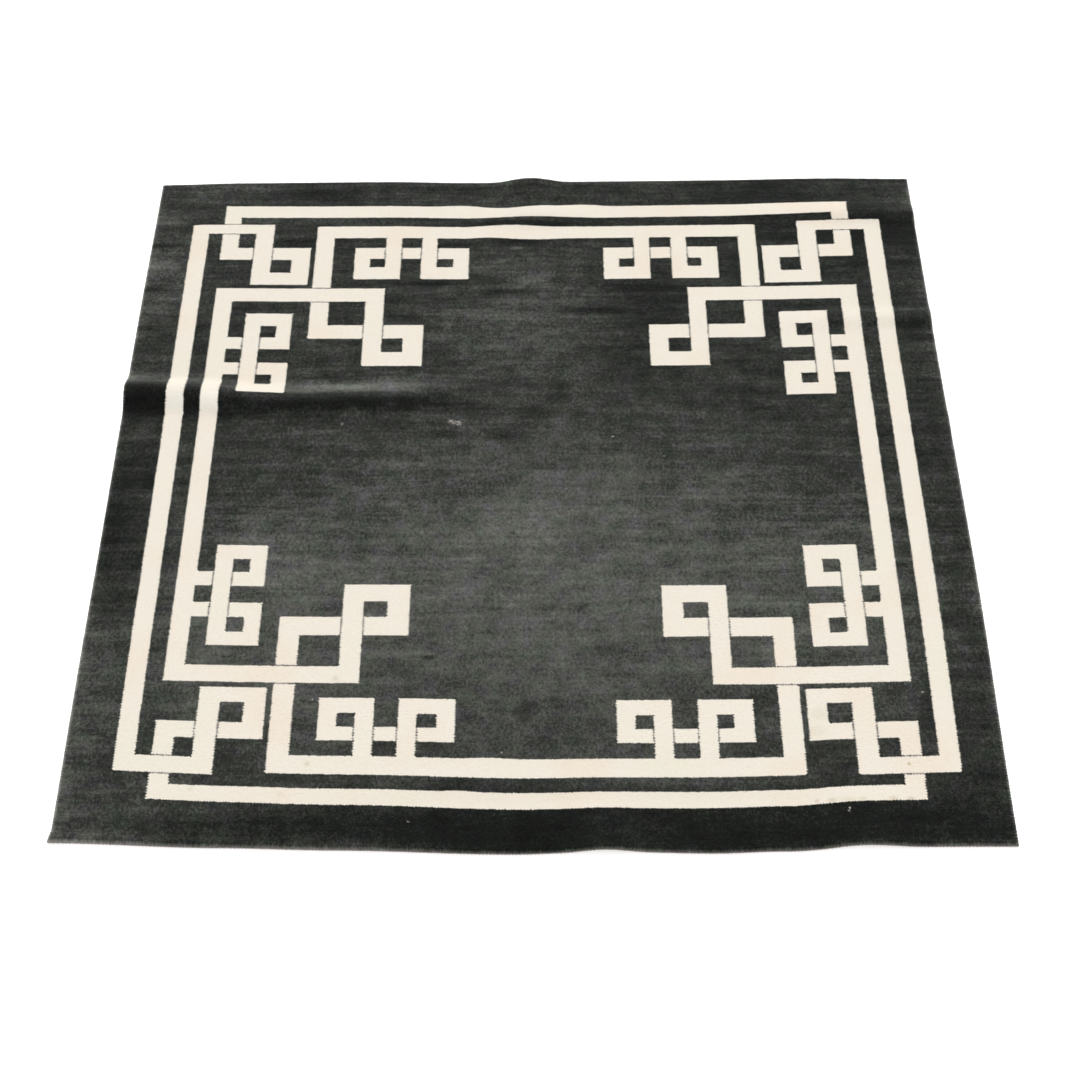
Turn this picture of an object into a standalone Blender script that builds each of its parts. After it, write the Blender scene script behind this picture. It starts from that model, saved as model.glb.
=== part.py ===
"""A square pile rug lying on a floor: one slab, flat underneath, lifted along a few low creases.

Metres, +Z up, +Y towards the far edge. The floor is z = 0, under the middle of the rug's box.
"""

import math
from collections import namedtuple

import bmesh
import bpy

# Driving sizes
SIDE = 1.830
BACKING_THICKNESS = 0.0025
PILE_HEIGHT = 0.0065
RIGHT_SIDE_EXTRA = 0.012  # how much longer than SIDE the right side is, and the left side shorter
WANDER_START = 0.55  # the edges' wander dies away between the edge and this far out from the middle
THICKNESS = BACKING_THICKNESS + PILE_HEIGHT
HALF_SIDE = SIDE / 2

# How far the woven edges stray outwards, at places along them from -1 to 1
Stray = namedtuple("Stray", "place out")
NEAR_EDGE = [
    Stray(-1.00, 0.004),
    Stray(-0.65, 0.013),
    Stray(-0.40, 0.017),
    Stray(-0.05, 0.024),
    Stray(0.16, 0.017),
    Stray(0.37, 0.020),
    Stray(0.52, 0.015),
    Stray(0.68, 0.005),
    Stray(1.00, 0.003),
]
FAR_EDGE = [
    Stray(-1.00, 0.000),
    Stray(-0.78, 0.005),
    Stray(-0.40, 0.006),
    Stray(-0.17, 0.000),
    Stray(0.15, 0.002),
    Stray(0.45, 0.003),
    Stray(0.77, 0.007),
    Stray(1.00, 0.003),
]
LEFT_EDGE = [Stray(-1.00, -0.002), Stray(-0.45, 0.001), Stray(0.50, 0.004), Stray(1.00, 0.002)]
RIGHT_EDGE = [Stray(-1.00, 0.001), Stray(-0.30, 0.008), Stray(0.50, 0.004), Stray(1.00, 0.003)]

# Low creases: the crest's middle, its heading in degrees from +X, how far it reaches each way
# along and across, and how high it lifts the rug
Crease = namedtuple("Crease", "name x y heading along across height")
CREASES = [
    Crease("left side", -0.880, 0.218, -4.4, 0.620, 0.062, 0.0225),
    Crease("left inside", -0.360, 0.197, 5.0, 0.300, 0.058, 0.0100),
    Crease("right side", 0.960, 0.456, 3.0, 0.560, 0.045, 0.0065),
    Crease("far right", 0.960, 0.795, -1.0, 0.620, 0.048, 0.0075),
    Crease("right edge low", 0.960, 0.135, 2.0, 0.240, 0.050, 0.0035),
    Crease("far middle", -0.012, 0.950, 90.0, 0.200, 0.100, 0.0155),
    Crease("far pucker", 0.000, 0.792, 2.0, 0.170, 0.055, 0.0065),
    Crease("near middle", 0.140, -0.960, 90.0, 0.190, 0.085, 0.0085),
    Crease("near right", 0.640, -0.960, 90.0, 0.200, 0.105, 0.0085),
]

# Where the grid's lines lie, closer together where a crease runs across them
Span = namedtuple("Span", "start end pieces")
ACROSS_SPANS = [Span(-1.00, -0.15, 19), Span(-0.15, 0.28, 16), Span(0.28, 0.54, 5), Span(0.54, 1.00, 13)]
ALONG_SPANS = [
    Span(-1.00, -0.78, 6),
    Span(-0.78, 0.06, 8),
    Span(0.06, 0.13, 3),
    Span(0.13, 0.33, 18),
    Span(0.33, 0.43, 2),
    Span(0.43, 0.56, 8),
    Span(0.56, 0.72, 3),
    Span(0.72, 1.00, 13),
]

PILE_COLOUR = (0.028, 0.030, 0.028, 1.0)
PILE_ROUGHNESS = 0.95


def fade(t):
    """1 in the middle, falling softly to 0 at t = 1 and staying there."""
    if abs(t) >= 1:
        return 0.0
    return math.cos(math.pi * t / 2) ** 2


def read_stray(rows, place):
    """The stray at a place between a table's rows, with soft turns at each row."""
    for low, high in zip(rows, rows[1:]):
        if place <= high.place:
            t = (place - low.place) / (high.place - low.place)
            soft = (1 - math.cos(math.pi * t)) / 2
            return low.out + (high.out - low.out) * soft
    return rows[-1].out


def nearness(place):
    """How much of an edge's stray reaches this place, from 0 inside to 1 at the edge."""
    return max(0.0, (place * HALF_SIDE - WANDER_START) / (HALF_SIDE - WANDER_START))


def plan_point(across, along):
    """A point of the rug seen from above, for places across and along it from -1 to 1."""
    x = across * HALF_SIDE
    x += nearness(across) * read_stray(RIGHT_EDGE, along)
    x -= nearness(-across) * read_stray(LEFT_EDGE, along)
    y = along * (HALF_SIDE + across * RIGHT_SIDE_EXTRA / 2)
    y += nearness(along) * read_stray(FAR_EDGE, across)
    y -= nearness(-along) * read_stray(NEAR_EDGE, across)
    return x, y


def lift(x, y):
    """How high the creases hold the underside at a point."""
    height = 0.0
    for crease in CREASES:
        turn = math.radians(crease.heading)
        dx, dy = x - crease.x, y - crease.y
        along = dx * math.cos(turn) + dy * math.sin(turn)
        across = dy * math.cos(turn) - dx * math.sin(turn)
        height += crease.height * fade(along / crease.along) * fade(across / crease.across)
    return height


def grid_lines(spans):
    lines = [spans[0].start]
    for span in spans:
        step = (span.end - span.start) / span.pieces
        lines += [span.start + step * (i + 1) for i in range(span.pieces)]
    return lines


def rug_material():
    material = bpy.data.materials.new("rug pile")
    material.use_nodes = True
    shader = material.node_tree.nodes["Principled BSDF"]
    shader.inputs["Base Color"].default_value = PILE_COLOUR
    shader.inputs["Roughness"].default_value = PILE_ROUGHNESS
    shader.inputs["Metallic"].default_value = 0.0
    return material


def shape_underside(mesh):
    """Moves a plain grid of points onto the rug's underside, with its box's middle over the origin."""
    across_lines = grid_lines(ACROSS_SPANS)
    along_lines = grid_lines(ALONG_SPANS)
    columns = len(across_lines) - 1
    rows = len(along_lines) - 1
    for vertex in mesh.vertices:
        column = round((vertex.co.x + 1) / 2 * columns)
        row = round((vertex.co.y + 1) / 2 * rows)
        x, y = plan_point(across_lines[column], along_lines[row])
        vertex.co = (x, y, lift(x, y))
    xs = [vertex.co.x for vertex in mesh.vertices]
    ys = [vertex.co.y for vertex in mesh.vertices]
    middle_x = (min(xs) + max(xs)) / 2
    middle_y = (min(ys) + max(ys)) / 2
    for vertex in mesh.vertices:
        vertex.co.x -= middle_x
        vertex.co.y -= middle_y


def make_rug(collection):
    mesh = bpy.data.meshes.new("rug")
    grid = bmesh.new()
    bmesh.ops.create_grid(
        grid,
        x_segments=sum(span.pieces for span in ACROSS_SPANS),
        y_segments=sum(span.pieces for span in ALONG_SPANS),
        size=1.0,
    )
    grid.to_mesh(mesh)
    grid.free()
    shape_underside(mesh)
    mesh.shade_smooth()
    rug = bpy.data.objects.new("rug", mesh)
    collection.objects.link(rug)
    slab = rug.modifiers.new("thickness", "SOLIDIFY")
    slab.thickness = THICKNESS
    slab.offset = 1.0
    rug.data.materials.append(rug_material())
    return rug


def main():
    for thing in list(bpy.data.objects):
        bpy.data.objects.remove(thing, do_unlink=True)
    collection = bpy.data.collections.new("square rug")
    bpy.context.scene.collection.children.link(collection)
    make_rug(collection)


main()
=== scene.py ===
import math
from collections import namedtuple

import bpy
import numpy as np
from mathutils import Matrix, Vector


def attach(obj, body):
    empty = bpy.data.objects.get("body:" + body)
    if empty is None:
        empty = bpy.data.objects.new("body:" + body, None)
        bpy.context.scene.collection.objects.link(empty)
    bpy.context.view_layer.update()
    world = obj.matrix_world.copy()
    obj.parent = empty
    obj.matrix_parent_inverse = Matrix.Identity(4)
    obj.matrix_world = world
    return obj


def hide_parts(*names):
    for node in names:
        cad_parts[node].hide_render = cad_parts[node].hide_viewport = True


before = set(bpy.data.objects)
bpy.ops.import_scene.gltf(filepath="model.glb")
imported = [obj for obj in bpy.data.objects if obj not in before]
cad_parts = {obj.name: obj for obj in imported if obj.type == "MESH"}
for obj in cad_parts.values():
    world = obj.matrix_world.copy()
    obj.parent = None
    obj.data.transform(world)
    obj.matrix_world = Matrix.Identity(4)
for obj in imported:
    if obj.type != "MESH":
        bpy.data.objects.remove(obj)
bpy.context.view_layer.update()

# Sizes in metres, +Y towards the rug's far edge. Places across and along the rug run from -1 to 1
SIDE = 1.830
HALF_SIDE = SIDE / 2
BACKING_THICKNESS = 0.0025
PILE_HEIGHT = 0.0065
RIGHT_SIDE_EXTRA = 0.012  # how much longer than SIDE the right side is, and the left side shorter
WANDER_START = 0.55  # the edges' wander dies away between the edge and this far out from the middle

TUFT_PITCH = 0.00305
TUFTS_EACH_HALF = round(HALF_SIDE / TUFT_PITCH)
TUFT_STAGGER = 0.0018  # every other row of tufts sits this far to one side
TUFT_JITTER = 0.0005
TEETH_ACROSS = 0.0012  # how far tufts stray where two yarns meet, across the rug and along it
TEETH_ALONG = 0.0008
TEETH_STAGGER_ACROSS = 0.0036  # the stagger there, which gives the fret its fine teeth
TEETH_STAGGER_ALONG = 0.0022
TIP_UNEVENNESS = 0.0003
PILE_BUMP = 0.0012
SEED = 7
PILE_INSET = 0.0016  # how far in from the rug's outline the pile begins
SHOULDER = 0.0035  # how far in from there the pile reaches its full height
RIM_STEP = 0.0008  # the pile's first row of points lies this far in from its edge
BACKING_CELLS = 150
BACKING_THREAD = 0.0024
BACKING_BUMP = 0.0006

EDGE_YARN_RADIUS = 0.0026
EDGE_YARN_BUMP = 0.0005
EDGE_STITCH = 0.0070
EDGE_STITCH_DEPTH = 0.60  # of the roll's radius
EDGE_RINGS_A_STITCH = 4
EDGE_SIDES = 7
CORNER_RADIUS = 0.0026

# How far the woven edges stray outwards, at places along them
Stray = namedtuple("Stray", "place out")
NEAR_EDGE = [
    Stray(-1.00, 0.004),
    Stray(-0.65, 0.013),
    Stray(-0.40, 0.017),
    Stray(-0.05, 0.024),
    Stray(0.16, 0.017),
    Stray(0.37, 0.020),
    Stray(0.52, 0.015),
    Stray(0.68, 0.005),
    Stray(1.00, 0.003),
]
FAR_EDGE = [
    Stray(-1.00, 0.000),
    Stray(-0.78, 0.005),
    Stray(-0.40, 0.006),
    Stray(-0.17, 0.000),
    Stray(0.15, 0.002),
    Stray(0.45, 0.003),
    Stray(0.77, 0.007),
    Stray(1.00, 0.003),
]
LEFT_EDGE = [Stray(-1.00, -0.002), Stray(-0.45, 0.001), Stray(0.50, 0.004), Stray(1.00, 0.002)]
RIGHT_EDGE = [Stray(-1.00, 0.001), Stray(-0.30, 0.008), Stray(0.50, 0.004), Stray(1.00, 0.003)]

# How the weave strays inside the edges: every row sags in its middle, the near rows more than the far
# ones, and the corners shift along X
ROW_SAG = [
    Stray(-1.00, -0.0045),
    Stray(-0.44, 0.0010),
    Stray(0.14, 0.0044),
    Stray(0.44, 0.0024),
    Stray(1.00, -0.0050),
]
NEAR_SAG, FAR_SAG = 1.5, 0.9
NEAR_LEFT_SHIFT = 0.0058
NEAR_RIGHT_SHIFT = -0.0022
FAR_LEFT_SHIFT = -0.0030
FAR_RIGHT_SHIFT = 0.0006
STEADY_MARGIN = 0.09  # of half the side: over this margin the weave falls back into line with the edges
CORNER_FLARE = 0.005  # how far the near left corner is drawn out
CORNER_FLARE_REACH = 0.030

# Creases: the crest's middle, its heading in degrees from +X, its reach each way along and across,
# and how high it lifts the rug, or how deep it dips where that is below zero
Crease = namedtuple("Crease", "name x y heading along across height")
CREASES = [
    Crease("left side", -0.880, 0.218, -4.4, 0.620, 0.062, 0.0225),
    Crease("left inside", -0.360, 0.197, 5.0, 0.300, 0.058, 0.0100),
    Crease("right side", 0.960, 0.456, 3.0, 0.560, 0.045, 0.0065),
    Crease("far right", 0.960, 0.795, -1.0, 0.620, 0.048, 0.0075),
    Crease("right edge low", 0.960, 0.135, 2.0, 0.240, 0.050, 0.0035),
    Crease("far middle", -0.012, 0.950, 90.0, 0.200, 0.100, 0.0155),
    Crease("far pucker", 0.000, 0.792, 2.0, 0.170, 0.055, 0.0065),
    Crease("near middle", 0.140, -0.960, 90.0, 0.190, 0.085, 0.0085),
    Crease("near right", 0.640, -0.960, 90.0, 0.200, 0.105, 0.0085),
]
WRINKLES = [
    Crease("middle dent", 0.020, 0.158, 55.0, 0.130, 0.030, -0.0018),
    Crease("middle dent end", -0.070, 0.082, 15.0, 0.090, 0.026, -0.0012),
]

# Places where the weave is pulled towards the far edge, or away from it where the amount is below
# zero: an oval's middle, its reach each way and how far
Patch = namedtuple("Patch", "name x y reach_x reach_y amount")
PULLS = [
    Patch("far line outer edge", -0.055, 0.826, 0.105, 0.019, -0.0085),
    Patch("far line outer edge right", 0.115, 0.826, 0.085, 0.019, 0.0060),
    Patch("far line outer edge left", -0.185, 0.826, 0.080, 0.019, 0.0045),
    Patch("far inner line outer edge", -0.060, 0.757, 0.120, 0.020, 0.0070),
    Patch("far inner line inner edge", 0.005, 0.718, 0.085, 0.020, -0.0035),
    Patch("far inner line inner edge left", -0.110, 0.718, 0.070, 0.020, 0.0045),
    Patch("near line inner edge", -0.140, -0.800, 0.055, 0.018, 0.0030),
    Patch("near inner line inner edge", -0.080, -0.730, 0.070, 0.018, 0.0030),
]

# The fret's lines: how far their outside and inside edges lie from the pattern's middle, in millimetres
PATTERN_X, PATTERN_Y = 4.0, -1.3
Line = namedtuple("Line", "outside inside")
MIDDLE = Line(0, 0)
UPRIGHTS = {
    "middle": MIDDLE,
    "outer side": Line(824, 784),
    "outer leg": Line(751, 711),
    "outer second": Line(670, 627),
    "outer box": Line(579, 538),
    "inner side": Line(748, 707),
    "inner leg": Line(525, 483),
    "inner second": Line(396, 354),
    "inner box": Line(305, 261),
    "side stem": Line(671, 635),
    "side box": Line(599, 563),
    "end first side": Line(430, 393),
    "end first leg": Line(357, 322),
    "end second leg": Line(271, 234),
    "end second side": Line(197, 160),
}
NEAR_CROSSWISE = {
    "middle": MIDDLE,
    "outer end": Line(822, 788),
    "outer band": Line(763, 726),
    "outer tail": Line(684, 647),
    "outer box top": Line(603, 567),
    "inner end": Line(756, 718),
    "inner band": Line(556, 517),
    "inner tail": Line(439, 396),
    "inner box top": Line(356, 313),
    "end band": Line(685, 652),
    "end bar": Line(624, 589),
    "side first bar": Line(469, 433),
    "side first stub": Line(397, 360),
    "side second stub": Line(317, 282),
    "side second bar": Line(247, 212),
}
FAR_CROSSWISE = {
    "middle": MIDDLE,
    "outer end": Line(826, 788),
    "outer band": Line(763, 733),
    "outer tail": Line(682, 645),
    "outer box top": Line(600, 561),
    "inner end": Line(757, 718),
    "inner band": Line(548, 508),
    "inner tail": Line(430, 387),
    "inner box top": Line(344, 303),
    "end band": Line(682, 646),
    "end bar": Line(618, 580),
    "side first bar": Line(467, 427),
    "side first stub": Line(390, 356),
    "side second stub": Line(313, 275),
    "side second bar": Line(244, 211),
}

# Each strand of a corner as the lines it follows, crosswise and upright in turn
STRANDS = [
    ["middle", "outer side", "outer band", "outer second", "outer box top", "outer box", "outer tail",
     "outer leg", "outer end", "middle"],
    ["middle", "inner side", "inner band", "inner second", "inner box top", "inner box", "inner tail",
     "inner leg", "inner end", "middle"],
    ["inner side", "side first stub", "side box", "side first bar", "side stem", "side second bar",
     "side box", "side second stub", "inner side"],
    ["inner end", "end first leg", "end bar", "end first side", "end band", "end second side",
     "end bar", "end second leg", "inner end"],
]

# The yarns, in the order of the pile's materials
GROUND, FRET, OUTLINE = range(3)

# Where one line passes over another, it is outlined by one row of dark tufts
Crossing = namedtuple("Crossing", "over under")
CROSSINGS = [
    Crossing("outer band", "outer leg"),
    Crossing("outer second", "outer tail"),
    Crossing("inner band", "inner leg"),
    Crossing("inner second", "inner tail"),
    Crossing("side stem", "side first stub"),
    Crossing("side stem", "side second stub"),
    Crossing("end first leg", "end band"),
    Crossing("end second leg", "end band"),
]

# Where the dark pile is worn paler or lies darker, and where light and shade are painted on it: painted
# highlights on the creases' crests, and painted shade on their near slopes, in the diagonal dent and below
# the far right crease. Each is an oval's middle, its reach each way and how much
TONES_AND_PAINTED_LIGHT = [
    Patch("worn near half", 0.00, -0.36, 1.35, 0.68, 0.34),
    Patch("worn middle", 0.05, 0.08, 0.75, 0.60, 0.10),
    Patch("worn far middle", -0.03, 0.48, 0.34, 0.34, 0.20),
    Patch("near left inside", -0.58, -0.50, 0.36, 0.34, 0.14),
    Patch("near right inside", 0.62, -0.36, 0.34, 0.42, 0.10),
    Patch("near left corner", -0.90, -0.82, 0.34, 0.40, 0.14),
    Patch("left margin near", -0.90, -0.60, 0.14, 0.30, 0.10),
    Patch("left margin middle", -0.90, -0.14, 0.15, 0.36, -0.28),
    Patch("left margin pale patch", -0.868, 0.095, 0.060, 0.044, 0.18),
    Patch("left margin dark patch", -0.820, -0.039, 0.060, 0.036, -0.16),
    Patch("left margin far", -0.88, 0.56, 0.16, 0.30, 0.20),
    Patch("far left corner", -0.84, 0.84, 0.36, 0.30, 0.04),
    Patch("far left dash first", -0.900, 0.690, 0.075, 0.016, -0.36),
    Patch("far left patch", -0.893, 0.622, 0.080, 0.034, 0.20),
    Patch("far left dash second", -0.907, 0.546, 0.075, 0.014, -0.30),
    Patch("far left margin patch", -0.878, 0.776, 0.080, 0.030, 0.18),
    Patch("far margin dark patch", -0.500, 0.874, 0.200, 0.022, -0.24),
    Patch("far left box dark", -0.560, 0.706, 0.160, 0.016, -0.30),
    Patch("far right quarter", 0.66, 0.78, 0.50, 0.46, -0.20),
    Patch("right margin", 0.92, -0.20, 0.14, 0.90, -0.08),
    Patch("near margin", 0.12, -0.90, 1.06, 0.15, -0.40),
    Patch("near right corner", 0.84, -0.88, 0.40, 0.16, -0.14),
    # Painted highlights along the crests of the left creases, then painted shade on their near slopes
    Patch("left crest", -0.90, 0.262, 0.34, 0.038, 0.34),
    Patch("left crest middle", -0.55, 0.228, 0.30, 0.038, 0.34),
    Patch("left crest end", -0.35, 0.238, 0.26, 0.042, 0.36),
    Patch("left crease lip", -0.90, 0.218, 0.30, 0.026, -0.30),
    Patch("left crease", -0.90, 0.178, 0.36, 0.062, -0.52),
    Patch("left crease middle", -0.42, 0.179, 0.42, 0.034, -0.38),
    Patch("left crease end", -0.24, 0.196, 0.14, 0.030, -0.24),
    # Painted shade in the diagonal dent
    Patch("diagonal dent far", 0.055, 0.214, 0.056, 0.046, -0.18),
    Patch("diagonal dent", 0.005, 0.162, 0.064, 0.050, -0.19),
    Patch("diagonal dent near", -0.065, 0.096, 0.088, 0.036, -0.20),
    Patch("dark patch left of dent", -0.190, 0.098, 0.080, 0.024, -0.20),
    Patch("left rim", -0.94, -0.20, 0.040, 1.40, 0.30),
    Patch("right rim", 0.94, -0.10, 0.034, 1.30, 0.20),
    # Painted highlight on the right crease's crest and painted shade on its near slope
    Patch("right crest", 0.94, 0.470, 0.44, 0.012, 0.18),
    Patch("right crease", 0.96, 0.425, 0.50, 0.026, -0.20),
    Patch("far right corner", 0.90, 0.86, 0.36, 0.07, 0.16),
    # Painted shade on the near slope of the far right crease
    Patch("below far right crease", 0.88, 0.74, 0.36, 0.08, -0.26),
    Patch("far middle band", -0.02, 0.760, 0.26, 0.018, -0.34),
    Patch("far middle first dash", -0.030, 0.704, 0.100, 0.014, -0.50),
    Patch("far middle first dash right", 0.100, 0.706, 0.090, 0.010, -0.30),
    Patch("far middle spot", -0.044, 0.680, 0.024, 0.011, 0.34),
    Patch("far middle second dash", -0.062, 0.536, 0.120, 0.014, -0.34),
    Patch("far middle patch", -0.011, 0.572, 0.055, 0.024, 0.28),
    Patch("far middle dash left", -0.240, 0.560, 0.080, 0.012, -0.34),
    Patch("far middle dash right", 0.138, 0.472, 0.130, 0.015, -0.34),
    Patch("far right band", 0.34, 0.545, 0.24, 0.020, -0.24),
    Patch("far right of middle", 0.23, 0.46, 0.18, 0.38, -0.18),
    Patch("near margin middle", 0.20, -0.89, 0.22, 0.07, 0.16),
    Patch("near margin dark patch", 0.00, -0.89, 0.16, 0.06, -0.08),
    Patch("near margin left", -0.34, -0.93, 0.26, 0.05, 0.10),
    Patch("near right of middle", 0.22, -0.76, 0.30, 0.10, 0.16),
    Patch("near pale middle", -0.02, -0.16, 0.14, 0.12, 0.14),
    Patch("near left patch", -0.52, -0.22, 0.20, 0.16, 0.12),
    Patch("pressed spot", -0.211, -0.497, 0.020, 0.009, -0.45),
    Patch("pressed patch left", -0.300, -0.519, 0.060, 0.035, -0.14),
    Patch("pressed patch right", -0.249, -0.536, 0.040, 0.026, -0.14),
    Patch("pressed patch near", -0.015, -0.626, 0.035, 0.050, -0.14),
]

# Soiled places on the cream yarn, in the same way
STAINS = [
    Patch("dark speck", 0.728, -0.746, 0.005, 0.006, 0.80),
    Patch("near line rim first", 0.543, -0.828, 0.008, 0.006, 0.40),
    Patch("near line rim second", 0.572, -0.826, 0.016, 0.008, 0.34),
    Patch("near line rim third", 0.604, -0.824, 0.026, 0.008, 0.22),
    Patch("near line rim fourth", 0.631, -0.824, 0.014, 0.008, 0.26),
    Patch("near line rim fifth", 0.690, -0.823, 0.016, 0.008, 0.34),
    Patch("near line end", 0.722, -0.824, 0.012, 0.009, 0.40),
    Patch("near line", 0.000, -0.815, 1.100, 0.034, 0.07),
    Patch("near inner line", 0.000, -0.740, 0.900, 0.030, 0.03),
    Patch("yellowed box top", 0.564, -0.632, 0.030, 0.026, 0.13),
    Patch("yellowed box", 0.552, -0.672, 0.036, 0.028, 0.13),
    Patch("inner corner", -0.395, -0.546, 0.013, 0.012, 0.26),
    Patch("inner line", -0.437, -0.744, 0.010, 0.009, 0.32),
    Patch("outer line first", -0.656, -0.799, 0.010, 0.008, 0.16),
    Patch("outer line second", -0.484, -0.810, 0.009, 0.008, 0.16),
]

# Painted light on the cream yarn, which takes out the shade on the left crease's near slope, in the same
# way
CREAM_PAINTED_LIGHT = [Patch("left crest slope", -0.78, 0.184, 0.40, 0.040, 1.0)]

# Pale tufts among the dark ones: a fleck's middle, its length and width, and its heading in degrees
Fleck = namedtuple("Fleck", "x y length width heading")
FLECKS = [
    Fleck(-0.175, 0.130, 0.030, 0.0100, -16.0),
    Fleck(0.174, 0.089, 0.006, 0.0040, 0.0),
    Fleck(0.284, 0.031, 0.003, 0.0035, 0.0),
    Fleck(-0.423, 0.126, 0.003, 0.0045, 0.0),
    Fleck(-0.312, 0.046, 0.003, 0.0035, 0.0),
    Fleck(0.603, -0.847, 0.008, 0.0040, 60.0),
    Fleck(0.775, -0.581, 0.005, 0.0035, 90.0),
    Fleck(-0.235, -0.871, 0.006, 0.0035, 0.0),
    Fleck(-0.436, -0.595, 0.003, 0.0035, 0.0),
    Fleck(-0.061, -0.719, 0.005, 0.0035, 90.0),
]

BASE_TONE = 0.54
# Painted light on the pile's shoulder where it falls to the edge, which lifts the shade that falls there
RIM_PAINTED_LIGHT = 0.70  # how much paler the pile is where it falls to the edge
BORDER_PALER = 0.11  # and in a soft border inside it, this wide
BORDER_WIDTH = 0.034

# How strongly the weft shows as streaks, from 0 to 1, and where it shows less
WEFT_STREAKS = 0.95
CALMER = [
    Patch("near half", 0.00, -0.75, 1.60, 0.75, -0.56),
    Patch("middle", 0.08, 0.04, 0.66, 0.50, -0.36),
]

# The yarns' colours: ramps of a place from 0 to 1 and the colour there. A cast is multiplied in
CHARCOAL = [
    (0.0, (0.0006, 0.0007, 0.0006, 1)),
    (0.20, (0.0024, 0.0028, 0.0023, 1)),
    (0.375, (0.0090, 0.0105, 0.0088, 1)),
    (0.525, (0.0360, 0.0380, 0.0340, 1)),
    (0.70, (0.1150, 0.1170, 0.1090, 1)),
    (0.85, (0.2200, 0.2220, 0.2090, 1)),
    (1.0, (0.3200, 0.3220, 0.3060, 1)),
]
CHARCOAL_CAST = [
    (0.36, (0.95, 1.06, 0.94, 1)),
    (0.50, (1.03, 1.01, 0.94, 1)),
    (0.64, (0.99, 0.98, 1.07, 1)),
]
CREAM = [(0.0, (0.755, 0.695, 0.60, 1)), (1.0, (0.895, 0.835, 0.735, 1))]
CREAM_CAST = [
    (0.34, (0.985, 1.0, 0.975, 1)),
    (0.50, (1.0, 1.0, 1.0, 1)),
    (0.66, (1.0, 0.965, 0.935, 1)),
]
# The colour of the painted light on the cream yarn
CREAM_PAINTED_LIGHT_COLOUR = (1.0, 0.95, 0.85, 1)
SOIL = (0.40, 0.26, 0.09, 1)
DARK_OUTLINE = [(0.0, (0.10, 0.095, 0.085, 1)), (1.0, (0.42, 0.39, 0.35, 1))]
UNDYED = [(0.0, (0.16, 0.145, 0.115, 1)), (1.0, (0.48, 0.44, 0.36, 1))]
BROWNISH_GREY = [(0.3, (0.120, 0.100, 0.096, 1)), (0.7, (0.560, 0.480, 0.460, 1))]

# Camera, light and floor
SENSOR_MM = 36.0
LENS_MM = 63.73
CAMERA_PLACE = Vector((0.0322, -2.6508, 3.2091))
CAMERA_YAW = math.radians(-0.432)
CAMERA_DOWN = math.radians(52.541)
CAMERA_ROLL = math.radians(-0.474)
KEY_LIGHT_FROM = Vector((-0.8, 4.2, 3.4))
KEY_LIGHT_STRENGTH = 1.95
KEY_LIGHT_BREADTH = 0.6  # in radians
SURROUND_STRENGTH = 0.70
FLOOR_REACH = 20.0
FLOOR_DROP = 0.0004  # how far the floor lies below the rug
FLOOR_GLOW = 0.48


# Shape of the rug

def fade(t):
    """1 in the middle, falling softly to 0 at t = 1 and staying there."""
    return np.where(np.abs(t) < 1, np.cos(np.pi * t / 2) ** 2, 0.0)


def read_stray(rows, place):
    """The stray at places between a table's rows, with soft turns at each row."""
    places = np.array([row.place for row in rows])
    outs = np.array([row.out for row in rows])
    low = np.clip(np.searchsorted(places, place) - 1, 0, len(rows) - 2)
    t = np.clip((place - places[low]) / (places[low + 1] - places[low]), 0, 1)
    return outs[low] + (outs[low + 1] - outs[low]) * (1 - np.cos(np.pi * t)) / 2


def nearness(place):
    """How much of an edge's stray reaches this place, from 0 inside to 1 at the edge."""
    return np.maximum(0.0, (place * HALF_SIDE - WANDER_START) / (HALF_SIDE - WANDER_START))


def weave_stray(across, along):
    """How far the weave strays along X and along Y at places inside the edges."""
    left, right = (1 - across) / 2, (1 + across) / 2
    near, far = (1 - along) / 2, (1 + along) / 2
    near_shift = left * NEAR_LEFT_SHIFT + right * NEAR_RIGHT_SHIFT
    far_shift = left * FAR_LEFT_SHIFT + right * FAR_RIGHT_SHIFT
    inside = np.clip((1 - np.maximum(np.abs(across), np.abs(along))) / STEADY_MARGIN, 0, 1)
    sag = (near * NEAR_SAG + far * FAR_SAG) * read_stray(ROW_SAG, across)
    return inside * (near * near_shift + far * far_shift), -inside * sag


def plan(across, along):
    """Points of the rug seen from above, before it is centred, for places from -1 to 1."""
    x = across * HALF_SIDE
    x = x + nearness(across) * read_stray(RIGHT_EDGE, along)
    x = x - nearness(-across) * read_stray(LEFT_EDGE, along)
    y = along * (HALF_SIDE + across * RIGHT_SIDE_EXTRA / 2)
    y = y + nearness(along) * read_stray(FAR_EDGE, across)
    y = y - nearness(-along) * read_stray(NEAR_EDGE, across)
    stray_x, stray_y = weave_stray(across, along)
    corner_distance = np.hypot(across + 1, along + 1) * HALF_SIDE
    flare = CORNER_FLARE * fade(corner_distance / CORNER_FLARE_REACH)
    return x + stray_x - flare, y + stray_y


def centring():
    """How far the rug is moved so that the middle of its box lies over the origin."""
    turn = np.linspace(-1, 1, 401)
    ends = np.ones_like(turn)
    sides = [plan(turn, ends), plan(turn, -ends), plan(ends, turn), plan(-ends, turn)]
    xs = np.concatenate([side[0] for side in sides])
    ys = np.concatenate([side[1] for side in sides])
    return -(xs.min() + xs.max()) / 2, -(ys.min() + ys.max()) / 2


CENTRING_X, CENTRING_Y = centring()


def distances(mark, x, y):
    """How far points of the plan lie from a mark's middle, along its heading and across it."""
    turn = math.radians(mark.heading)
    dx, dy = x - mark.x, y - mark.y
    along = dx * math.cos(turn) + dy * math.sin(turn)
    across = dy * math.cos(turn) - dx * math.sin(turn)
    return along, across


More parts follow.
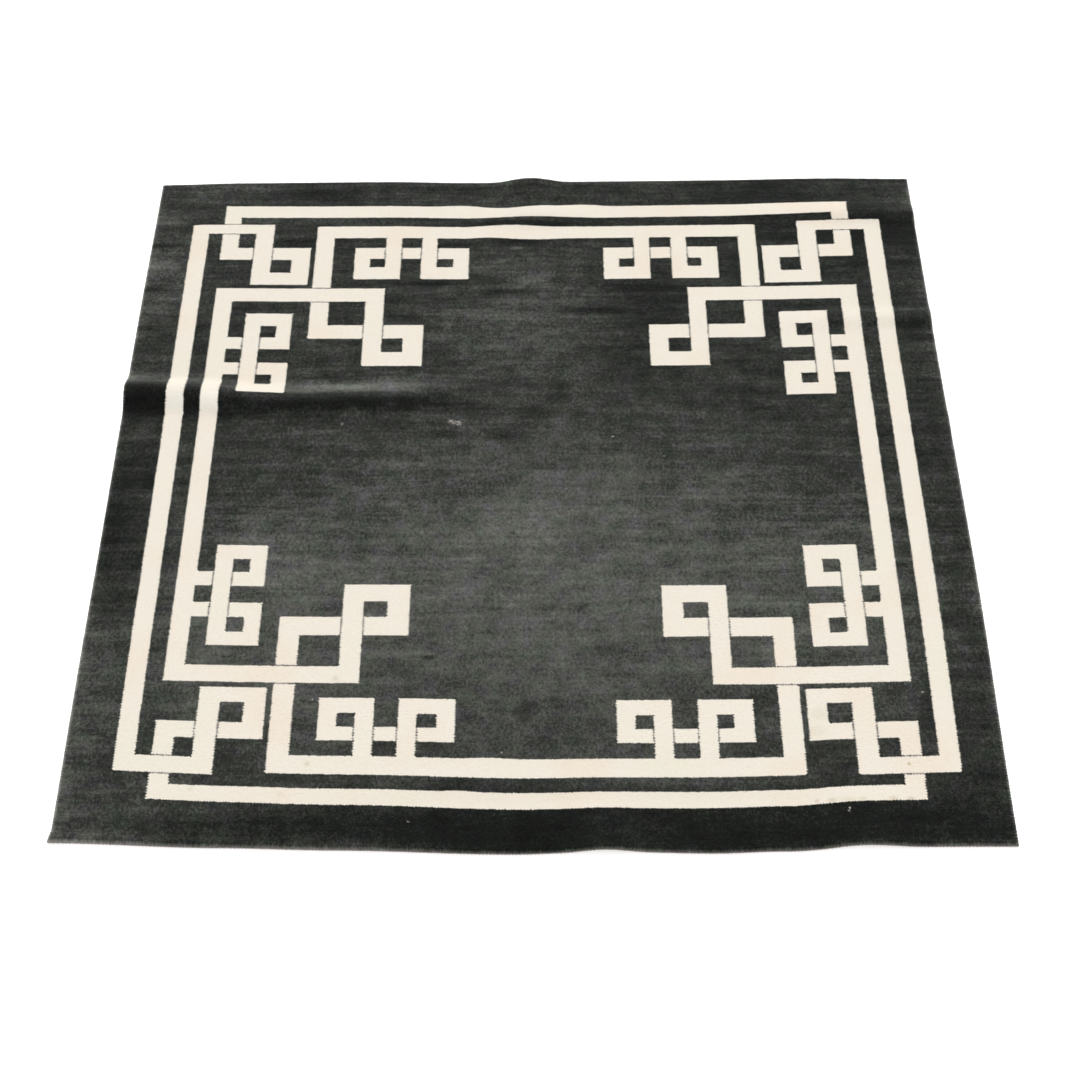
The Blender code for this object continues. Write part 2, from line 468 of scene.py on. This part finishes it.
def lift(x, y, creases):
    """How high the creases hold the cloth at points of the plan, before it is centred."""
    height = np.zeros_like(x)
    for crease in creases:
        along, across = distances(crease, x, y)
        height += crease.height * fade(along / crease.along) * fade(across / crease.across)
    return height


def points_from(x, y, z):
    """A list of points, centred like the solid."""
    return np.stack([x + CENTRING_X, y + CENTRING_Y, z], axis=-1).reshape(-1, 3)


# Chart of the fret

def between(value, line):
    return (value > line.inside) & (value < line.outside)


def strand_mask(strand, lines, upright_first, x, y):
    """The cells of one strand. Each line reaches over the whole width of the lines before and after it."""
    mask = np.zeros(x.shape, bool)
    upright = upright_first
    for before, name, after in zip(strand, strand[1:], strand[2:]):
        own, other = lines["crosswise"], lines["upright"]
        if upright:
            own, other = other, own
        reach = Line(
            max(other[before].outside, other[after].outside),
            min(other[before].inside, other[after].inside),
        )
        if upright:
            mask |= between(x, own[name]) & between(y, reach)
        else:
            mask |= between(y, own[name]) & between(x, reach)
        upright = not upright
    return mask


def outline_mask(crossing, lines, x, y, pitch):
    """The dark rows beside a line, where it passes over another."""
    over_is_upright = crossing.over in lines["upright"]
    over_kind, under_kind = ("upright", "crosswise") if over_is_upright else ("crosswise", "upright")
    over = lines[over_kind][crossing.over]
    under = lines[under_kind][crossing.under]
    to_over, to_under = (x, y) if over_is_upright else (y, x)
    rows = between(to_over, Line(over.outside + pitch, over.outside))
    rows |= between(to_over, Line(over.inside, over.inside - pitch))
    return rows & between(to_under, under)


def fret_cells(across, along):
    """Each tuft's yarn, for the middles of the tufts in places from -1 to 1."""
    millimetres = 1000 * HALF_SIDE
    pitch = 1000 * TUFT_PITCH
    x = np.abs(across * millimetres - PATTERN_X)
    y = along * millimetres - PATTERN_Y
    yarn = np.full(x.shape, GROUND)
    for crosswise, out in ((NEAR_CROSSWISE, -y), (FAR_CROSSWISE, y)):
        lines = {"upright": UPRIGHTS, "crosswise": crosswise}
        half = np.zeros(x.shape, bool)
        for strand in STRANDS:
            half |= strand_mask(strand, lines, strand[1] in UPRIGHTS, x, out)
        yarn[half & (out >= 0)] = FRET
        for crossing in CROSSINGS:
            yarn[outline_mask(crossing, lines, x, out, pitch) & (out >= 0)] = OUTLINE
    return yarn


def fleck_cells(x, y):
    """The tufts that are flecks, for the tufts' middles in the plan."""
    mask = np.zeros(x.shape, bool)
    for fleck in FLECKS:
        along, across = distances(fleck, x, y)
        mask |= (np.abs(along) < fleck.length / 2) & (np.abs(across) < fleck.width / 2)
    return mask


# Materials

def add_node(tree, kind, inputs=None, **settings):
    """Adds a shader node. A value that is a socket is joined to the input, and any other is set on it."""
    node = tree.nodes.new("ShaderNode" + kind)
    for name, value in settings.items():
        setattr(node, name, value)
    for name, value in (inputs or {}).items():
        if isinstance(value, bpy.types.NodeSocket):
            tree.links.new(value, node.inputs[name])
        else:
            node.inputs[name].default_value = value
    return node


def maths(tree, operation, *values):
    node = add_node(tree, "Math", dict(enumerate(values)), operation=operation)
    return node.outputs[0]


def weighted_sum(tree, base, terms):
    """base plus each value's distance from a half, times its weight."""
    total = base
    for value, weight in terms:
        centred = maths(tree, "SUBTRACT", value, 0.5)
        total = maths(tree, "MULTIPLY_ADD", centred, weight, total)
    return total


def noise(tree, vector, scale=1.0, detail=2.0, roughness=0.5):
    inputs = {"Vector": vector, "Scale": scale, "Detail": detail, "Roughness": roughness}
    return add_node(tree, "TexNoise", inputs).outputs["Fac"]


def stretched(tree, vector, scale):
    inputs = {"Vector": vector, "Scale": scale}
    return add_node(tree, "Mapping", inputs).outputs["Vector"]


def ramp(tree, value, stops):
    node = add_node(tree, "ValToRGB", {"Fac": value})
    elements = node.color_ramp.elements
    elements[0].position, elements[0].color = stops[0]
    elements[1].position, elements[1].color = stops[-1]
    for position, colour in stops[1:-1]:
        elements.new(position).color = colour
    return node.outputs["Color"]


def mix_colour(tree, factor, first, second, blend_type="MIX"):
    """A mix of two colours. The numbers are those of the node's factor and of its two colours."""
    inputs = {0: factor, 6: first, 7: second}
    node = add_node(tree, "Mix", inputs, data_type="RGBA", blend_type=blend_type)
    return node.outputs[2]


def read_value(tree, name):
    """A value that the pile's points carry."""
    return add_node(tree, "Attribute", attribute_name=name).outputs["Fac"]


def start_material(name):
    material = bpy.data.materials.new(name)
    material.use_nodes = True
    tree = material.node_tree
    shader = tree.nodes["Principled BSDF"]
    where = add_node(tree, "TexCoord").outputs["Object"]
    return material, tree, shader, where


def tuft_cells(tree):
    """The tuft that a point is in: a random value for it, and how high its rounded tip stands there."""
    cell = add_node(tree, "Attribute", attribute_name="tuft").outputs["Vector"]
    number = add_node(tree, "VectorMath", {0: cell}, operation="FLOOR").outputs["Vector"]
    inside = add_node(tree, "VectorMath", {0: cell}, operation="FRACTION").outputs["Vector"]
    chance = add_node(tree, "TexWhiteNoise", {"Vector": number}, noise_dimensions="2D").outputs["Value"]
    parts = add_node(tree, "SeparateXYZ", {"Vector": inside})
    domes = []
    for axis in ("X", "Y"):
        centred = maths(tree, "MULTIPLY_ADD", parts.outputs[axis], 2.0, -1.0)
        squared = maths(tree, "MULTIPLY", centred, centred)
        domes.append(maths(tree, "SUBTRACT", 1.0, squared))
    tip = maths(tree, "MULTIPLY", *domes)
    return chance, tip


def add_bump(tree, shader, height, strength, depth):
    bump = add_node(tree, "Bump", {"Height": height, "Strength": strength, "Distance": depth})
    tree.links.new(bump.outputs["Normal"], shader.inputs["Normal"])


def pile_bump(tree, shader, where, tip, chance, strength):
    """The fine relief of the tufts' tips and fibres."""
    fibres = noise(tree, where, scale=900.0, roughness=0.7)
    height = weighted_sum(tree, tip, [(fibres, 0.9), (chance, 0.5)])
    add_bump(tree, shader, height, strength, PILE_BUMP)


def ground_yarn_material():
    """Charcoal pile: mottled, worn paler in places, with painted highlights and painted shade along the
    creases and in the dent, painted light where it falls to the edge, and faint streaks along the weft.
    """
    material, tree, shader, where = start_material("charcoal pile")
    chance, tip = tuft_cells(tree)
    # The pile's tone: wear and random mottling, with the painted shade and painted highlights of the
    # creases and the dent
    tone_and_painted_light = read_value(tree, "tone_and_painted_light")
    weft = read_value(tree, "weft")
    clouds = noise(tree, where, scale=8.0, detail=3.0, roughness=0.6)
    patches = noise(tree, stretched(tree, where, (26.0, 24.0, 1.0)), detail=3.0, roughness=0.7)
    bands = noise(tree, stretched(tree, where, (3.2, 34.0, 1.0)), roughness=0.55)
    streaks = noise(tree, stretched(tree, where, (9.0, 110.0, 1.0)), roughness=0.6)
    speckle = noise(tree, stretched(tree, where, (170.0, 95.0, 1.0)), roughness=0.7)
    speckle_weight = maths(tree, "MULTIPLY_ADD", weft, 0.44, 0.26)
    patch_weight = maths(tree, "MULTIPLY_ADD", weft, 0.18, 0.40)
    mottles = [(clouds, 0.40), (patches, patch_weight), (speckle, speckle_weight), (chance, 0.22)]
    mottled = weighted_sum(tree, tone_and_painted_light, mottles)
    band_weight = maths(tree, "MULTIPLY", weft, 0.64)
    streak_weight = maths(tree, "MULTIPLY", weft, 0.42)
    shade = weighted_sum(tree, mottled, [(bands, band_weight), (streaks, streak_weight)])
    colour = ramp(tree, maths(tree, "MULTIPLY_ADD", shade, 0.5, 0.2), CHARCOAL)
    cast = ramp(tree, noise(tree, where, scale=26.0, detail=3.0, roughness=0.6), CHARCOAL_CAST)
    tinted = mix_colour(tree, 1.0, colour, cast, "MULTIPLY")
    tree.links.new(tinted, shader.inputs["Base Color"])
    shader.inputs["Roughness"].default_value = 0.95
    shader.inputs["Specular IOR Level"].default_value = 0.10
    shader.inputs["Sheen Weight"].default_value = 0.22
    shader.inputs["Sheen Roughness"].default_value = 0.35
    shader.inputs["Sheen Tint"].default_value = (0.95, 1.0, 0.97, 1)
    pile_bump(tree, shader, where, tip, chance, 0.6)
    return material


def fret_yarn_material():
    """Cream pile: even, with a faint peach cast in places and painted light over the left crease's near
    slope.
    """
    material, tree, shader, where = start_material("cream pile")
    chance, tip = tuft_cells(tree)
    grain = noise(tree, where, scale=220.0, detail=1.0)
    shade = weighted_sum(tree, 0.5, [(grain, 0.25), (chance, 0.2)])
    colour = ramp(tree, shade, CREAM)
    cast = ramp(tree, noise(tree, where, scale=5.0), CREAM_CAST)
    tinted = mix_colour(tree, 1.0, colour, cast, "MULTIPLY")
    # Painted light: the cream is mixed towards its palest colour where shade falls on the left crease's
    # near slope
    cream_with_painted_light = mix_colour(tree, read_value(tree, "paler"), tinted, CREAM_PAINTED_LIGHT_COLOUR)
    stained = mix_colour(tree, read_value(tree, "soil"), cream_with_painted_light, SOIL)
    tree.links.new(stained, shader.inputs["Base Color"])
    shader.inputs["Roughness"].default_value = 0.95
    shader.inputs["Specular IOR Level"].default_value = 0.15
    shader.inputs["Sheen Weight"].default_value = 0.10
    shader.inputs["Sheen Roughness"].default_value = 0.5
    pile_bump(tree, shader, where, tip, chance, 0.15)
    return material


def outline_yarn_material():
    """The single dark rows beside the fret's crossings, half hidden by the cream pile round them."""
    material, tree, shader, where = start_material("outline pile")
    chance, tip = tuft_cells(tree)
    colour = ramp(tree, chance, DARK_OUTLINE)
    tree.links.new(colour, shader.inputs["Base Color"])
    shader.inputs["Roughness"].default_value = 0.95
    shader.inputs["Specular IOR Level"].default_value = 0.10
    pile_bump(tree, shader, where, tip, chance, 0.6)
    return material


def backing_material():
    """Plain undyed back of the weave, with its fine over and under of warp and weft."""
    material, tree, shader, where = start_material("woven back")
    parts = add_node(tree, "SeparateXYZ", {"Vector": where})
    thread = 2 * math.pi / BACKING_THREAD
    waves = []
    for axis in ("X", "Y"):
        turned = maths(tree, "MULTIPLY", parts.outputs[axis], thread)
        waves.append(maths(tree, "SINE", turned))
    weave = maths(tree, "MULTIPLY", *waves)
    slubs = noise(tree, stretched(tree, where, (20.0, 400.0, 1.0)), roughness=0.6)
    shade = weighted_sum(tree, 0.5, [(weave, 0.12), (slubs, 0.5)])
    colour = ramp(tree, shade, UNDYED)
    tree.links.new(colour, shader.inputs["Base Color"])
    shader.inputs["Roughness"].default_value = 0.9
    add_bump(tree, shader, weave, 0.5, BACKING_BUMP)
    return material


def edge_yarn_material():
    """Brownish grey yarn sewn over the edge."""
    material, tree, shader, where = start_material("edge yarn")
    strands = noise(tree, where, scale=420.0, roughness=0.6)
    colour = ramp(tree, strands, BROWNISH_GREY)
    tree.links.new(colour, shader.inputs["Base Color"])
    shader.inputs["Roughness"].default_value = 0.9
    shader.inputs["Sheen Weight"].default_value = 0.15
    add_bump(tree, shader, strands, 0.5, EDGE_YARN_BUMP)
    return material


def floor_material():
    """Plain and pale, with a little light of its own."""
    material, tree, shader, where = start_material("pale floor")
    shader.inputs["Base Color"].default_value = (0.93, 0.93, 0.93, 1)
    shader.inputs["Emission Color"].default_value = (1.0, 1.0, 1.0, 1)
    shader.inputs["Emission Strength"].default_value = FLOOR_GLOW
    shader.inputs["Roughness"].default_value = 0.9
    shader.inputs["Specular IOR Level"].default_value = 0.0
    return material


# Objects

def add_object(name, data):
    thing = bpy.data.objects.new(name, data)
    bpy.context.scene.collection.objects.link(thing)
    return thing


def add_mesh(name, points, faces, materials):
    mesh = bpy.data.meshes.new(name)
    mesh.from_pydata(points.tolist(), [], faces.tolist())
    for material in materials:
        mesh.materials.append(material)
    return add_object(name, mesh)


def grid_faces(rows, columns):
    """Faces between the points of a grid with that many rows and columns of points, seen from above."""
    index = np.arange(rows * columns).reshape(rows, columns)
    corners = [index[:-1, :-1], index[:-1, 1:], index[1:, 1:], index[1:, :-1]]
    return np.stack([corner.ravel() for corner in corners], axis=1)


# Pile

def sum_of_patches(patches, x, y):
    """How much of the patches, each strongest in its middle, lies on points of the plan."""
    total = np.zeros(x.shape)
    for patch in patches:
        distance = np.hypot((x - patch.x) / patch.reach_x, (y - patch.y) / patch.reach_y)
        total += patch.amount * fade(distance)
    return total


def where_yarns_meet(yarn):
    """The grid's points that have more than one yarn round them."""
    wide = np.pad(yarn, 1, mode="edge")
    around = np.stack([wide[:-1, :-1], wide[:-1, 1:], wide[1:, :-1], wide[1:, 1:]])
    return around.max(axis=0) != around.min(axis=0)


def pile_lines():
    """Where the pile's rows of points run, from -1 to 1: a tuft apart, but closer at both rims."""
    inset = 1 - PILE_INSET / HALF_SIDE
    lines = np.linspace(-inset, inset, 2 * TUFTS_EACH_HALF + 1)
    lines[1] = lines[0] + RIM_STEP / HALF_SIDE
    lines[-2] = lines[-1] - RIM_STEP / HALF_SIDE
    return lines


def pile_yarns(lines):
    """Each tuft's yarn, flecks and all, and the points where the fret's yarn meets the ground's."""
    tufts = (lines[:-1] + lines[1:]) / 2
    middles = np.meshgrid(tufts, tufts)
    yarn = fret_cells(*middles)
    meeting = where_yarns_meet(yarn)
    yarn[fleck_cells(*plan(*middles)) & (yarn == GROUND)] = OUTLINE
    return yarn, meeting


def pile_shades(x, y, rise, edge_distance):
    """The values that the pile's materials read, at points of the plan."""
    tone_and_painted_light = BASE_TONE + sum_of_patches(TONES_AND_PAINTED_LIGHT, x, y)
    # Painted light on the pile's shoulder at the edge, and a paler border inside it
    tone_and_painted_light = tone_and_painted_light + RIM_PAINTED_LIGHT * (1 - rise) + BORDER_PALER * fade(edge_distance / BORDER_WIDTH)
    return {
        "tone_and_painted_light": tone_and_painted_light,
        "weft": WEFT_STREAKS + sum_of_patches(CALMER, x, y),
        "soil": sum_of_patches(STAINS, x, y),
        # Painted light on the cream yarn over the left crease's near slope
        "paler": sum_of_patches(CREAM_PAINTED_LIGHT, x, y),
    }


def pile_surface():
    """The whole surface of the pile as a grid of points, with the points' values and the tufts' yarns."""
    lines = pile_lines()
    across, along = np.meshgrid(lines, lines)
    x, y = plan(across, along)
    edge_distance = (lines[-1] - np.maximum(np.abs(across), np.abs(along))) * HALF_SIDE
    rise = np.clip(edge_distance / SHOULDER, 0, 1)
    shades = pile_shades(x, y, rise, edge_distance)
    yarn, meeting = pile_yarns(lines)
    inner = rise > 0
    stray_across = inner * np.where(meeting, TEETH_ACROSS, TUFT_JITTER)
    stray_along = inner * np.where(meeting, TEETH_ALONG, TUFT_JITTER)
    stagger_across = inner * np.where(meeting, TEETH_STAGGER_ACROSS, TUFT_STAGGER)
    stagger_along = inner * np.where(meeting, TEETH_STAGGER_ALONG, TUFT_STAGGER)
    generator = np.random.default_rng(SEED)
    row, column = np.indices(x.shape)
    y = y + sum_of_patches(PULLS, x, y)
    x = x + stagger_across * (row % 2 - 0.5) + generator.uniform(-1, 1, x.shape) * stray_across
    y = y + stagger_along * (column % 2 - 0.5) + generator.uniform(-1, 1, x.shape) * stray_along
    pile = PILE_HEIGHT * np.sqrt(1 - (1 - rise) ** 2)
    tips = generator.uniform(-1, 1, x.shape) * TIP_UNEVENNESS * inner
    z = lift(x, y, CREASES) + lift(x, y, WRINKLES) + BACKING_THICKNESS + pile + tips
    return x, y, z, row, column, shades, yarn


def make_pile(materials):
    """The pile in four quarters that meet along the rug's middle lines."""
    x, y, z, row, column, shades, yarn = pile_surface()
    half = TUFTS_EACH_HALF
    quarters = []
    for end, rows in (("near", slice(0, half)), ("far", slice(half, 2 * half))):
        for side, columns in (("left", slice(0, half)), ("right", slice(half, 2 * half))):
            part = (slice(rows.start, rows.stop + 1), slice(columns.start, columns.stop + 1))
            points = points_from(x[part], y[part], z[part])
            faces = grid_faces(half + 1, half + 1)
            quarter = add_mesh("pile_" + end + "_" + side, points, faces, materials)
            mesh = quarter.data
            mesh.polygons.foreach_set("material_index", yarn[rows, columns].astype(np.int32).ravel())
            cells = np.stack([column[part], row[part], np.zeros_like(row[part])], axis=-1)
            tuft = mesh.attributes.new("tuft", "FLOAT_VECTOR", "POINT")
            tuft.data.foreach_set("vector", cells.astype(np.float32).ravel())
            for name, values in shades.items():
                shade = mesh.attributes.new(name, "FLOAT", "POINT")
                shade.data.foreach_set("value", values[part].astype(np.float32).ravel())
            mesh.update()
            quarters.append(quarter)
    return quarters


# Back and edge

def make_backing(material):
    """The woven foundation: a closed thin slab that follows the creases."""
    inset = 1 - EDGE_YARN_RADIUS / HALF_SIDE
    lines = np.linspace(-inset, inset, BACKING_CELLS + 1)
    x, y = plan(*np.meshgrid(lines, lines))
    low = lift(x, y, CREASES)
    points = np.concatenate([points_from(x, y, low), points_from(x, y, low + BACKING_THICKNESS)])
    count = BACKING_CELLS + 1
    top = grid_faces(count, count) + count * count
    bottom = grid_faces(count, count)[:, ::-1]
    index = np.arange(count * count).reshape(count, count)
    rim = np.concatenate([index[0, :-1], index[:-1, -1], index[-1, :0:-1], index[:0:-1, 0]])
    ahead = np.roll(rim, -1)
    walls = np.stack([rim, ahead, ahead + count * count, rim + count * count], axis=1)
    backing = add_mesh("woven_back", points, np.concatenate([bottom, top, walls]), [material])
    backing.data.shade_smooth()
    return backing


def edge_path():
    """Points round the rug along the middle of the sewn edge, a little apart, in places from -1 to 1."""
    reach = 1 - EDGE_YARN_RADIUS / HALF_SIDE
    bend = CORNER_RADIUS / HALF_SIDE
    rings_a_side = EDGE_RINGS_A_STITCH * round(SIDE / EDGE_STITCH)
    run = np.linspace(-reach + bend, reach - bend, rings_a_side)
    turn = np.linspace(0, math.pi / 2, EDGE_RINGS_A_STITCH + 2)[1:-1]
    side = np.stack([run, np.full_like(run, -reach)])
    corner_x = reach - bend + bend * np.sin(turn)
    corner_y = -reach + bend - bend * np.cos(turn)
    quarter = np.concatenate([side, np.stack([corner_x, corner_y])], axis=1)
    path = []
    for quarter_turns in range(4):
        angle = quarter_turns * math.pi / 2
        turned = np.array([[math.cos(angle), -math.sin(angle)], [math.sin(angle), math.cos(angle)]])
        path.append(turned @ quarter)
    return np.concatenate(path, axis=1)


def make_edge(material):
    """A roll of slanted stitches round the edge."""
    across, along = edge_path()
    x, y = plan(across, along)
    z = lift(x, y, CREASES) + EDGE_YARN_RADIUS
    rings = len(x)
    ahead = np.stack([np.roll(x, -1) - np.roll(x, 1), np.roll(y, -1) - np.roll(y, 1)])
    ahead /= np.hypot(*ahead)
    ring = np.arange(rings)[:, None]
    angle = np.arange(EDGE_SIDES)[None, :] * 2 * math.pi / EDGE_SIDES
    phase = 2 * math.pi * ring / EDGE_RINGS_A_STITCH + angle
    radius = EDGE_YARN_RADIUS * (1 - EDGE_STITCH_DEPTH * (1 - np.cos(phase)) / 2)
    out = radius * np.cos(angle)
    px = x[:, None] + out * ahead[1][:, None]
    py = y[:, None] - out * ahead[0][:, None]
    pz = z[:, None] + radius * np.sin(angle)
    index = np.arange(rings * EDGE_SIDES).reshape(rings, EDGE_SIDES)
    after = np.roll(index, -1, axis=0)
    corners = [index, after, np.roll(after, -1, axis=1), np.roll(index, -1, axis=1)]
    faces = np.stack([corner.ravel() for corner in corners], axis=1)
    edge = add_mesh("sewn_edge", points_from(px, py, pz), faces, [material])
    edge.data.shade_smooth()
    return edge


# Stage

def make_floor():
    reach, low = FLOOR_REACH, -FLOOR_DROP
    corners = [(-reach, -reach, low), (reach, -reach, low), (reach, reach, low), (-reach, reach, low)]
    floor = add_mesh("floor", np.array(corners), np.array([[0, 1, 2, 3]]), [floor_material()])


def make_key_light():
    """A broad far light that shines towards the rug's middle."""
    data = bpy.data.lights.new("far key", "SUN")
    data.energy = KEY_LIGHT_STRENGTH
    data.angle = KEY_LIGHT_BREADTH
    light = add_object("far key", data)
    light.location = KEY_LIGHT_FROM
    light.rotation_mode = "QUATERNION"
    light.rotation_quaternion = (-KEY_LIGHT_FROM).to_track_quat("-Z", "Y")


def make_lights():
    world = bpy.data.worlds.new("studio")
    world.use_nodes = True
    background = world.node_tree.nodes["Background"]
    background.inputs["Color"].default_value = (1.0, 1.0, 1.0, 1)
    background.inputs["Strength"].default_value = SURROUND_STRENGTH
    bpy.context.scene.world = world
    make_key_light()
    bpy.context.scene.view_settings.view_transform = "Standard"


def make_camera():
    data = bpy.data.cameras.new("camera")
    data.sensor_width = SENSOR_MM
    data.lens = LENS_MM
    camera = add_object("camera", data)
    level = math.cos(CAMERA_DOWN)
    view = Vector((math.sin(CAMERA_YAW) * level, math.cos(CAMERA_YAW) * level, -math.sin(CAMERA_DOWN)))
    right = view.cross(Vector((0, 0, 1))).normalized()
    up = right.cross(view)
    right = math.cos(CAMERA_ROLL) * right + math.sin(CAMERA_ROLL) * up
    up = right.cross(view)
    camera.rotation_mode = "QUATERNION"
    camera.rotation_quaternion = Matrix((right, up, -view)).transposed().to_quaternion()
    camera.location = CAMERA_PLACE + Vector((CENTRING_X, CENTRING_Y, 0))
    bpy.context.scene.camera = camera


def main():
    make_camera()
    make_lights()
    make_floor()
    pile = make_pile([ground_yarn_material(), fret_yarn_material(), outline_yarn_material()])
    backing = make_backing(backing_material())
    edge = make_edge(edge_yarn_material())
    for piece in [*pile, backing, edge]:
        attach(piece, "root")
    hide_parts("rug")


main()
